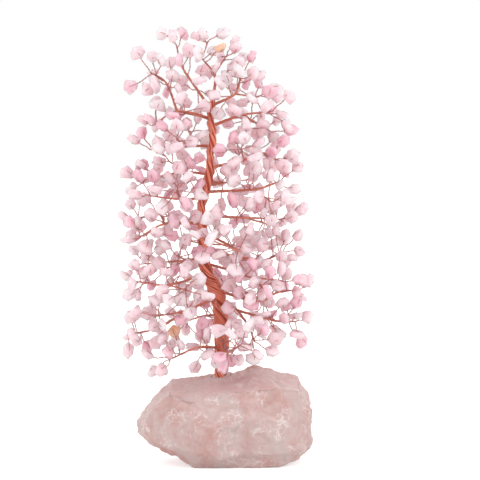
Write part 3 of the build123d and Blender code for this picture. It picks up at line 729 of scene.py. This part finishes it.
def tumbled_quartz():
    """Rose quartz tumbled to a soft polish: milky pink, lit through at thin edges, with faint clouds."""
    look = bpy.context.scene.gem_tree_chips
    material, tree, shader, spot = new_material("tumbled rose quartz")
    tone = add(tree, "ShaderNodeAttribute", attribute_name="tone").outputs["Fac"]
    body = add(tree, RAMP, [tone], stops=[
        (0.0, look.pale), (0.07, look.pale), (0.25, look.pink), (0.72, look.pink), (0.9, look.deep),
        (0.99, look.deep), (0.994, look.peach)])
    # Clouds about 3 mm across
    clouds = add(tree, NOISE, {
        "Vector": spot, "Scale": 1 / (3.2 * MM), "Detail": 4.0, "Distortion": 0.6})
    haze = add(tree, RAMP, [clouds], stops=[(0.35, colour("#FAE6EA")), (0.62, colour("#FFFFFF"))])
    milky = add(tree, MIX, {0: 0.7, FIRST_COLOUR: body, SECOND_COLOUR: haze},
                data_type="RGBA", blend_type="MULTIPLY")
    # Tumbling leaves shallow dimples about 1.5 mm across
    dimples = add(tree, NOISE, {"Vector": spot, "Scale": 1 / (1.6 * MM), "Detail": 2.0})
    bump = add(tree, "ShaderNodeBump", {"Height": dimples, "Strength": 0.35, "Distance": 0.25 * MM})
    join(tree, shader, {
        "Base Color": milky, "Roughness": 0.24, "IOR": 1.54, "Subsurface Weight": 1.0,
        "Subsurface Radius": (1.0, 0.8, 0.78), "Subsurface Scale": 9 * MM, "Normal": bump})
    return material


def raw_quartz():
    """Raw rose quartz as it was broken: waxy and cloudy, with white flecks where it has cracked."""
    look = bpy.context.scene.gem_tree_block
    material, tree, shader, spot = new_material("raw rose quartz")
    # Clouds about 25 mm across, and smaller brown ones
    clouds = add(tree, NOISE, {
        "Vector": spot, "Scale": 1 / (26 * MM), "Detail": 8.0, "Roughness": 0.74, "Distortion": 0.6})
    body = add(tree, RAMP, [clouds], stops=[
        (0.38, look.cloud_colour), (0.56, look.body_colour), (0.66, colour("#CFBDB8")),
        (0.8, colour("#E4CFCB"))])
    # Cracks where the stone has parted, about 8 mm apart, seen in patches as thin white veils. Their
    # lines are bent by up to 20 mm
    bent = add(tree, NOISE, {"Vector": spot, "Scale": 1 / (14 * MM), "Detail": 3.0}).outputs["Color"]
    pushed = add(tree, VECTOR, [bent, [20 * MM] * 3, spot], operation="MULTIPLY_ADD")
    cells = add(tree, "ShaderNodeTexVoronoi", {"Vector": pushed, "Scale": 1 / (8 * MM)},
                feature="DISTANCE_TO_EDGE")
    patchy = add(tree, NOISE, {"Vector": spot, "Scale": 1 / (11 * MM), "Detail": 3.0})
    where = add(tree, RANGE, {"Value": patchy, "From Min": 0.46, "From Max": 0.64, "To Max": 0.8})
    crack = add(tree, RANGE, {"Value": cells, "From Max": 0.06, "To Min": 1.0, "To Max": 0.0})
    veil = add(tree, MATH, [crack, where], operation="MULTIPLY")
    # Flecks about 1 mm across
    flecks = add(tree, NOISE, {"Vector": spot, "Scale": 1 / (1.7 * MM), "Detail": 2.0})
    sparks = add(tree, RANGE, {"Value": flecks, "From Min": 0.57, "From Max": 0.66})
    flecked = add(tree, MATH, [sparks, where], operation="MULTIPLY")
    white = add(tree, MATH, [veil, flecked], operation="MAXIMUM")
    # Upward-facing faces are painted paler, up to half way to a light pink: painted light on the top of the
    # block
    normal = add(tree, "ShaderNodeNewGeometry").outputs["Normal"]
    facing = add(tree, "ShaderNodeSeparateXYZ", [normal]).outputs["Z"]
    painted_top_light_share = add(tree, RANGE, {"Value": facing, "From Min": 0.3, "From Max": 0.95, "To Max": 0.5})
    painted_top_light = add(tree, MIX, {0: painted_top_light_share, FIRST_COLOUR: body, SECOND_COLOUR: colour("#F5D9D5")},
                  data_type="RGBA")
    # White cracks and flecks go over the body with its painted top light
    broken = add(tree, MIX, {0: white, FIRST_COLOUR: painted_top_light, SECOND_COLOUR: look.fleck_colour},
                 data_type="RGBA")
    # Broken surface: ripples about 4 mm apart and grain under 1 mm
    ripples = add(tree, NOISE, {
        "Vector": spot, "Scale": 1 / (4.5 * MM), "Detail": 6.0, "Roughness": 0.62})
    bump = add(tree, "ShaderNodeBump", {"Height": ripples, "Strength": 0.8, "Distance": 1.3 * MM})
    join(tree, shader, {
        "Base Color": broken, "Roughness": 0.42, "IOR": 1.54, "Transmission Weight": 0.12,
        "Subsurface Weight": 0.35, "Subsurface Radius": (1.0, 0.62, 0.58),
        "Subsurface Scale": 4 * MM, "Normal": bump})
    return material


def clear_epoxy():
    """Two-part epoxy set in the socket: clear over the pink stone, smooth where it flowed."""
    look = bpy.context.scene.gem_tree_block
    material, tree, shader, spot = new_material("set clear epoxy")
    # Clouds of fine bubbles about 2 mm across
    bubbles = add(tree, NOISE, {"Vector": spot, "Scale": 1 / (2 * MM), "Detail": 3.0})
    cloudy = add(tree, RAMP, [bubbles], stops=[(0.35, look.glue_colour), (0.7, colour("#EAD6CF"))])
    join(tree, shader, {
        "Base Color": cloudy, "Roughness": 0.12, "IOR": 1.5, "Transmission Weight": 0.15})
    return material


def pale_floor():
    """Matt white sweep: white to the camera, shaded only where the block touches it."""
    look = bpy.context.scene.gem_tree_stage
    material, tree, shader, spot = new_material("matt white sweep")
    # Faint shades 300 mm across
    cloth = add(tree, NOISE, {"Vector": spot, "Scale": 1 / (300 * MM), "Detail": 1.0})
    pale = add(tree, RAMP, [cloth], stops=[(0.3, look.floor_colour), (0.7, colour("#F7F6F5"))])
    join(tree, shader, {"Base Color": pale, "Roughness": 0.9, "Specular IOR Level": 0.1})
    # It glows for rays from the camera, and for those seen in gloss or through clear stone
    rays = add(tree, "ShaderNodeLightPath").outputs
    through = add(tree, MATH, [rays["Is Glossy Ray"], rays["Is Transmission Ray"]], operation="MAXIMUM")
    seen = add(tree, MATH, [rays["Is Camera Ray"], through], operation="MAXIMUM")
    strength = add(tree, MATH, [seen, 0.5], operation="MULTIPLY")
    glow = add(tree, "ShaderNodeEmission", {"Color": (1, 1, 1, 1), "Strength": strength})
    both = add(tree, "ShaderNodeAddShader", [shader, glow])
    output = next(node for node in tree.nodes if node.type == "OUTPUT_MATERIAL")
    join(tree, output, {"Surface": both})
    return material


# Pieces

def cell_edge(spot, spacing, shift, reach):
    """Nearness to an edge between broken cells: the reach at the edge, and 0 from that far inside."""
    gaps = noise.voronoi(spot / spacing + Vector(shift))[0]
    return reach - min(gaps[1] - gaps[0], reach)


def worn_block(mesh, look):
    """Breaks the plain faces of the block into hollows, ledges and grain, nearly always inwards."""
    made = bmesh.new()
    made.from_mesh(mesh)
    above = [vertex for vertex in made.verts if vertex.co.z > 1 * MM]
    bmesh.ops.smooth_vert(
        made, verts=above, factor=0.5, use_axis_x=True, use_axis_y=True, use_axis_z=True)
    made.normal_update()
    moves = []
    for vertex in made.verts:
        spot = vertex.co
        hollow = 0.5 + (noise.noise(spot / BROAD) + 0.4 * noise.noise(spot / LESSER))
        ledge = 1.6 * cell_edge(spot, LEDGES, (3, 1, 7), 0.5) + cell_edge(spot, FLAKES, (5, 2, 1), 0.4)
        grain = 0.8 + (noise.noise(spot / GRAIN) + 0.7 * noise.noise(spot / GRIT))
        push = look.hollow * hollow + look.ledge * ledge + GRAIN_DEPTH * grain
        push *= risen(math.hypot(spot.x, spot.y), *SOCKET_FADE) * risen(spot.z, *GROUND_FADE)
        moves.append(vertex.normal * -max(push, -PROUDEST))
    for vertex, move in zip(made.verts, moves):
        vertex.co += move
        vertex.co.z = max(vertex.co.z, 0)
    made.to_mesh(mesh)
    made.free()
    for face in mesh.polygons:
        face.use_smooth = True
    return mesh


class GEM_TREE_OT_quartz_block(bpy.types.Operator):
    """Raw quartz block with its drilled socket"""

    bl_idname = "gem_tree.quartz_block"
    bl_label = "Raw quartz block"
    bl_options = {"REGISTER", "UNDO"}

    def execute(self, context):
        look = context.scene.gem_tree_block
        solid = merged("rock_base")
        mesh = bpy.data.meshes.new("raw_quartz_block")
        solid.to_mesh(mesh)
        solid.free()
        carrier = put("raw_quartz_block", mesh)
        skin = carrier.modifiers.new("Even skin", "REMESH")
        skin.mode = "VOXEL"
        skin.voxel_size = look.grain
        stone = worn_block(settled("raw_quartz_block.stone", carrier), look)
        shown("raw_quartz_block.stone", stone, raw_quartz(), "raw_quartz", "rock_base")
        return {"FINISHED"}


def stone_rims(stone, top):
    """Height of the stone above the glue's top round the socket, up to the glue's highest rim."""
    rims = []
    for i in range(GLUE_SIDES):
        a = math.tau * i / GLUE_SIDES
        over = Vector((GLUE_REACH * math.cos(a), GLUE_REACH * math.sin(a), FOOT + FEEL_FROM))
        hit, spot, _, _ = stone.ray_cast(over, Vector((0, 0, -1)))
        if not hit:
            raise RuntimeError("There is no stone under the edge of the glue.")
        rims.append(min(spot.z - top, GLUE_RIM))
    return rims


class GEM_TREE_OT_set_glue(bpy.types.Operator):
    """Set glue that climbs a little up the foot of the trunk"""

    bl_idname = "gem_tree.set_glue"
    bl_label = "Set glue"
    bl_options = {"REGISTER", "UNDO"}

    def execute(self, context):
        stone = bpy.data.objects.get("raw_quartz_block.stone")
        if stone is None:
            raise RuntimeError("The glue levels with the stone: make the raw quartz block first.")
        chance = random.Random(GLUE_SEED)
        waves = [chance.uniform(-1, 1) for _ in range(6)]
        foot = trunk_at(FOOT)[1]
        outer = SOCKET_BORE / 2 - FIT_GAP
        inner = foot - 0.3 * MM
        top = FOOT - GLUE_MARGIN
        floor = FOOT - SOCKET_DEPTH
        rims = stone_rims(stone, top)
        # Outline up the socket's wall, over the top and down inside the trunk: radius, height and the
        # share of the waves that it takes
        outline = [
            (outer, floor, 0), (outer, top - 1 * MM, 0), (outer - 0.1 * MM, top - 0.2 * MM, 0.3),
            (outer - 0.5 * MM, top, 0.6), ((outer + foot) / 2, top, 1),
            (foot + 0.35 * MM, top + 0.1 * MM, 1), (foot + 0.05 * MM, top + 0.5 * MM, 1),
            (inner, top + 0.55 * MM, 1), (inner, top - 1 * MM, 0), (inner, floor + GLUE_FLOOR, 0),
        ]
        corners, faces = [], []
        for radius, z, loose in outline:
            for i in range(GLUE_SIDES):
                a = math.tau * i / GLUE_SIDES
                lift = sum(w * math.sin((k + 1) * a + 2 * w) for k, w in enumerate(waves)) * GLUE_WAVE
                # It levels with the stone, which slopes round the socket
                slope = rims[i] * risen(z, floor, top) ** 4 * min(radius / outer + 0.3, 1)
                corners.append((radius * math.cos(a), radius * math.sin(a), z + loose * lift + slope))
        last = (len(outline) - 1) * GLUE_SIDES
        for low in range(0, last, GLUE_SIDES):
            high = low + GLUE_SIDES
            for i in range(GLUE_SIDES):
                j = (i + 1) % GLUE_SIDES
                faces.append((low + i, low + j, high + j, high + i))
        faces.append(tuple(range(GLUE_SIDES))[::-1])
        faces.append(tuple(range(last, last + GLUE_SIDES)))
        mesh = bpy.data.meshes.new("set_glue.ring")
        mesh.from_pydata(corners, [], faces)
        for face in mesh.polygons:
            face.use_smooth = len(face.vertices) == 4
        shown("set_glue.ring", mesh, clear_epoxy(), "clear_epoxy", "socket_glue")
        return {"FINISHED"}


def wire_makings():
    """Geometry tree and material that all the wires share, made when they are first asked for."""
    tree = bpy.data.node_groups.get("Twisted wires") or wires_tree()
    return tree, bpy.data.materials.get("enamelled copper wire") or enamelled_copper()


class GEM_TREE_OT_trunk_wires(bpy.types.Operator):
    """Trunk as one twisted bundle of wires in lobes"""

    bl_idname = "gem_tree.trunk_wires"
    bl_label = "Trunk wires"
    bl_options = {"REGISTER", "UNDO"}

    def execute(self, context):
        look = context.scene.gem_tree_wires
        tree, copper = wire_makings()
        heights = [FOOT + row[0] * TREE_HEIGHT for row in TRUNK_SHARES[1:-1]]
        levels = [trunk_at(z) for z in (TRUNK_FOOT, *heights, TRUNK_TOP)]
        points = [centre for centre, _ in levels]
        thick = [2 * radius for _, radius in levels]
        wires = {"thick": thick, "strands": TRUNK_WIRES, "wire": look.trunk_wire, "tone": 1.0}
        middle = {"thick": 0.0, "strands": 1, "wire": [MIDDLE_SHARE * t for t in thick], "tone": 0.5}
        mesh = grown(
            "trunk_wires.bundle", traced("trunk path", [(points, wires), (points, middle)]), tree,
            step=TRUNK_STEP, pitch=-look.trunk_pitch, pair_pitch=PLAIN_PITCH, sides=6, flatness=0.92,
            lobes=TRUNK_LOBES, lobe_depth=LOBE_DEPTH, material=copper)
        shown("trunk_wires.bundle", mesh, copper, "copper_wire", "trunk_core", "trunk_strands")
        return {"FINISHED"}


def nearest_on(chains, point):
    """Nearest point on a limb's lengths and the heading there."""
    best = None
    for points, _ in chains:
        for start, end in zip(points, points[1:]):
            way = end - start
            spot = start + np.clip((point - start) @ way / (way @ way), 0, 1) * way
            gap = np.linalg.norm(point - spot)
            if best is None or gap < best[0]:
                best = (gap, spot, unit(way))
    return best[1:]


def bundle_runs(chains, look):
    """Runs of a limb's bundles, redder where they are thick."""
    runs = []
    for points, radii in chains:
        lay = max(radii) - look.pair / 2
        runs.append((points, {
            "thick": [2 * r for r in radii], "wire": look.pair,
            "strands": max(round(ROUND_FIT * lay / look.pair), 2),
            "tone": [min(max((r - BROWN_RADIUS) / BROWN_RADIUS, 0.15), 0.85) for r in radii],
        }))
    return runs


def stem_runs(chance, chains, chips, look):
    """Runs of a limb's stems, bowed a little, and of the loop of wire over each face of a chip."""
    runs = []
    for chip in chips:
        spot, heading = nearest_on(chains, chip["base"])
        span = chip["end"] - chip["base"]
        aside = np.cross(unit(span), [chance.uniform(-1, 1) for _ in range(3)])
        bow = aside * STEM_BOW * np.linalg.norm(span)
        # Along the limb, out of it, and in a bow to the chip
        path = [
            spot - STEM_ROOT * heading, spot * 0.6 + chip["base"] * 0.4,
            chip["base"] + 0.28 * span + bow, chip["base"] + 0.68 * span - 0.6 * bow,
            chip["end"] + STEM_SINK * chip["axis"],
        ]
        tone = chance.uniform(0, 0.35)
        runs.append((path, {"thick": 0.0, "strands": 1, "wire": look.pair, "tone": tone}))
        # From the stem's end over the face and into the hole: shares of the half length and thickness
        hole = chance.uniform(-0.1, 0.45)
        loop = ((-1.0, 0.1), (-0.82, 0.66), (-0.45, 0.98), (hole - 0.12, 1.1), (hole, 0.55))
        for face in (-1, 1):
            path = []
            for level, proud in loop:
                out = face * (chip["half"][1] * proud + (LOOP_RISE if proud > 0.2 else 0))
                path.append(
                    chip["heart"] + chip["axis"] * chip["half"][2] * level + chip["back"] * out)
            runs.append((path, {"thick": 0.0, "strands": 1, "wire": look.loop_wire, "tone": 0.1}))
    return runs


class GEM_TREE_OT_limb_wires(bpy.types.Operator):
    """Twisted limbs with their stems and the wire loops on the chips"""

    bl_idname = "gem_tree.limb_wires"
    bl_label = "Limb wires"
    bl_options = {"REGISTER", "UNDO"}

    def execute(self, context):
        look = context.scene.gem_tree_wires
        tree, copper = wire_makings()
        chance = random.Random(WIRE_SEED)
        for number, limb in enumerate(LIMB_SHARES, start=1):
            chains = limb_chains(*limb)
            runs = bundle_runs(chains, look) + stem_runs(chance, chains, chips_of(number), look)
            name = f"limb_{number:02d}.twisted_wires"
            mesh = grown(
                name, traced("limb path", runs), tree, step=look.step, pitch=look.limb_pitch,
                pair_pitch=look.pair_pitch, sides=4, flatness=0.75, lobes=0.0, lobe_depth=0.0,
                material=copper)
            shown(name, mesh, copper, "copper_wire", f"limb_{number:02d}_wires")
        return {"FINISHED"}


def peach_hearts(hearts):
    """Middles of the chips that are peach: the nearest to each place in the front view."""
    return [
        min(hearts, key=lambda heart: math.hypot(heart[0] - x, heart[2] - z) + 0.1 * heart[1])
        for x, z in PEACH_AT
    ]


class GEM_TREE_OT_quartz_chips(bpy.types.Operator):
    """Tumbled quartz chips, one on every stem"""

    bl_idname = "gem_tree.quartz_chips"
    bl_label = "Quartz chips"
    bl_options = {"REGISTER", "UNDO"}

    def execute(self, context):
        look = context.scene.gem_tree_chips
        chance = random.Random(CHIP_SEED)
        stone = tumbled_quartz()
        tree = pebbles_tree()
        limbs = [chips_of(number) for number in range(1, len(LIMB_SHARES) + 1)]
        peach = peach_hearts([chip["heart"] for chips in limbs for chip in chips])
        for number, chips in enumerate(limbs, start=1):
            mesh = bpy.data.meshes.new("chip places")
            mesh.from_pydata([tuple(chip["heart"]) for chip in chips], [], [])
            frames = [np.column_stack([c["axis"], c["side"], c["back"]]).tolist() for c in chips]
            tones = [
                PEACH_TONE if any(chip["heart"] is heart for heart in peach)
                else LAST_PINK_TONE * chance.random()
                for chip in chips
            ]
            tapers = [
                TAPER_GAIN * chip["taper"] + chance.uniform(-TAPER_SPREAD, TAPER_SPREAD)
                for chip in chips
            ]
            mark(mesh, {
                "turn": [tuple(Matrix(rows).to_euler()) for rows in frames],
                "half": [chip["half"][[2, 0, 1]] for chip in chips],
                "heart": [chip["heart"] for chip in chips],
                "axis": [chip["axis"] for chip in chips],
                "tone": tones, "taper": tapers,
            })
            name = f"limb_{number:02d}.tumbled_chips"
            made = grown(
                name, mesh, tree, roundness=ROUNDNESS, lumps=look.lumps, lump_scale=LUMP_SCALE,
                seed=LUMP_SEED, material=stone)
            shown(name, made, stone, "quartz_chip", f"limb_{number:02d}_chips")
        return {"FINISHED"}


class GEM_TREE_OT_stage(bpy.types.Operator):
    """White floor, soft lamps, white surroundings and the camera"""

    bl_idname = "gem_tree.stage"
    bl_label = "Stage"
    bl_options = {"REGISTER", "UNDO"}

    def execute(self, context):
        scene = context.scene
        look = scene.gem_tree_stage
        mesh = bpy.data.meshes.new("stage_floor")
        corners = [(-1, -1), (1, -1), (1, 1), (-1, 1)]
        mesh.from_pydata([(x * FLOOR_REACH, y * FLOOR_REACH, 0) for x, y in corners], [], [(0, 1, 2, 3)])
        mesh.materials.append(pale_floor())
        put("stage_floor", mesh)
        for name, (at, size, power) in LAMPS.items():
            lamp = bpy.data.lights.new(name, "AREA")
            lamp.size = size
            lamp.energy = power
            shone = put(name, lamp)
            shone.location = at
            shone.rotation_euler = (LAMP_AIM - Vector(at)).to_track_quat("-Z", "Y").to_euler()
        world = bpy.data.worlds.new("white surroundings")
        scene.world = world
        world.use_nodes = True
        backing = next(node for node in world.node_tree.nodes if node.type == "BACKGROUND")
        join(world.node_tree, backing, {"Color": (1, 1, 1, 1), "Strength": 1.0})
        centre = Vector((look.centre_x, 0, look.centre_z))
        back = Vector((0, -math.cos(look.tilt), math.sin(look.tilt)))
        camera = put("camera", bpy.data.cameras.new("camera"))
        camera.data.lens = camera.data.sensor_width * look.distance / look.view_width
        camera.data.clip_start = 0.05
        camera.data.clip_end = 30
        camera.location = centre + back * look.distance
        camera.rotation_euler = (-back).to_track_quat("-Z", "Y").to_euler()
        scene.camera = camera
        scene.view_settings.view_transform = "Standard"
        return {"FINISHED"}


MAKERS = (
    GEM_TREE_OT_quartz_block, GEM_TREE_OT_set_glue, GEM_TREE_OT_trunk_wires, GEM_TREE_OT_limb_wires,
    GEM_TREE_OT_quartz_chips, GEM_TREE_OT_stage,
)


class GEM_TREE_PT_panel(bpy.types.Panel):
    """Sizes, colours and makers of the gemstone tree"""

    bl_label = "Gemstone tree"
    bl_idname = "GEM_TREE_PT_panel"
    bl_space_type = "VIEW_3D"
    bl_region_type = "UI"
    bl_category = "Gem Tree"

    def draw(self, context):
        for key, look in LOOKS.items():
            box = self.layout.box()
            box.label(text=look.__doc__)
            for name in look.__annotations__:
                box.prop(getattr(context.scene, key), name)
        for maker in MAKERS:
            self.layout.operator(maker.bl_idname)


def register():
    for kind in (*LOOKS.values(), *MAKERS, GEM_TREE_PT_panel):
        bpy.utils.register_class(kind)
    for key, kind in LOOKS.items():
        setattr(bpy.types.Scene, key, bpy.props.PointerProperty(type=kind))


def unregister():
    for key in LOOKS:
        delattr(bpy.types.Scene, key)
    for kind in reversed((*LOOKS.values(), *MAKERS, GEM_TREE_PT_panel)):
        bpy.utils.unregister_class(kind)


def main():
    """Register the add-on and make every piece."""
    register()
    bpy.ops.gem_tree.quartz_block()
    bpy.ops.gem_tree.set_glue()
    bpy.ops.gem_tree.trunk_wires()
    bpy.ops.gem_tree.limb_wires()
    bpy.ops.gem_tree.quartz_chips()
    bpy.ops.gem_tree.stage()


if __name__ == "__main__":
    main()
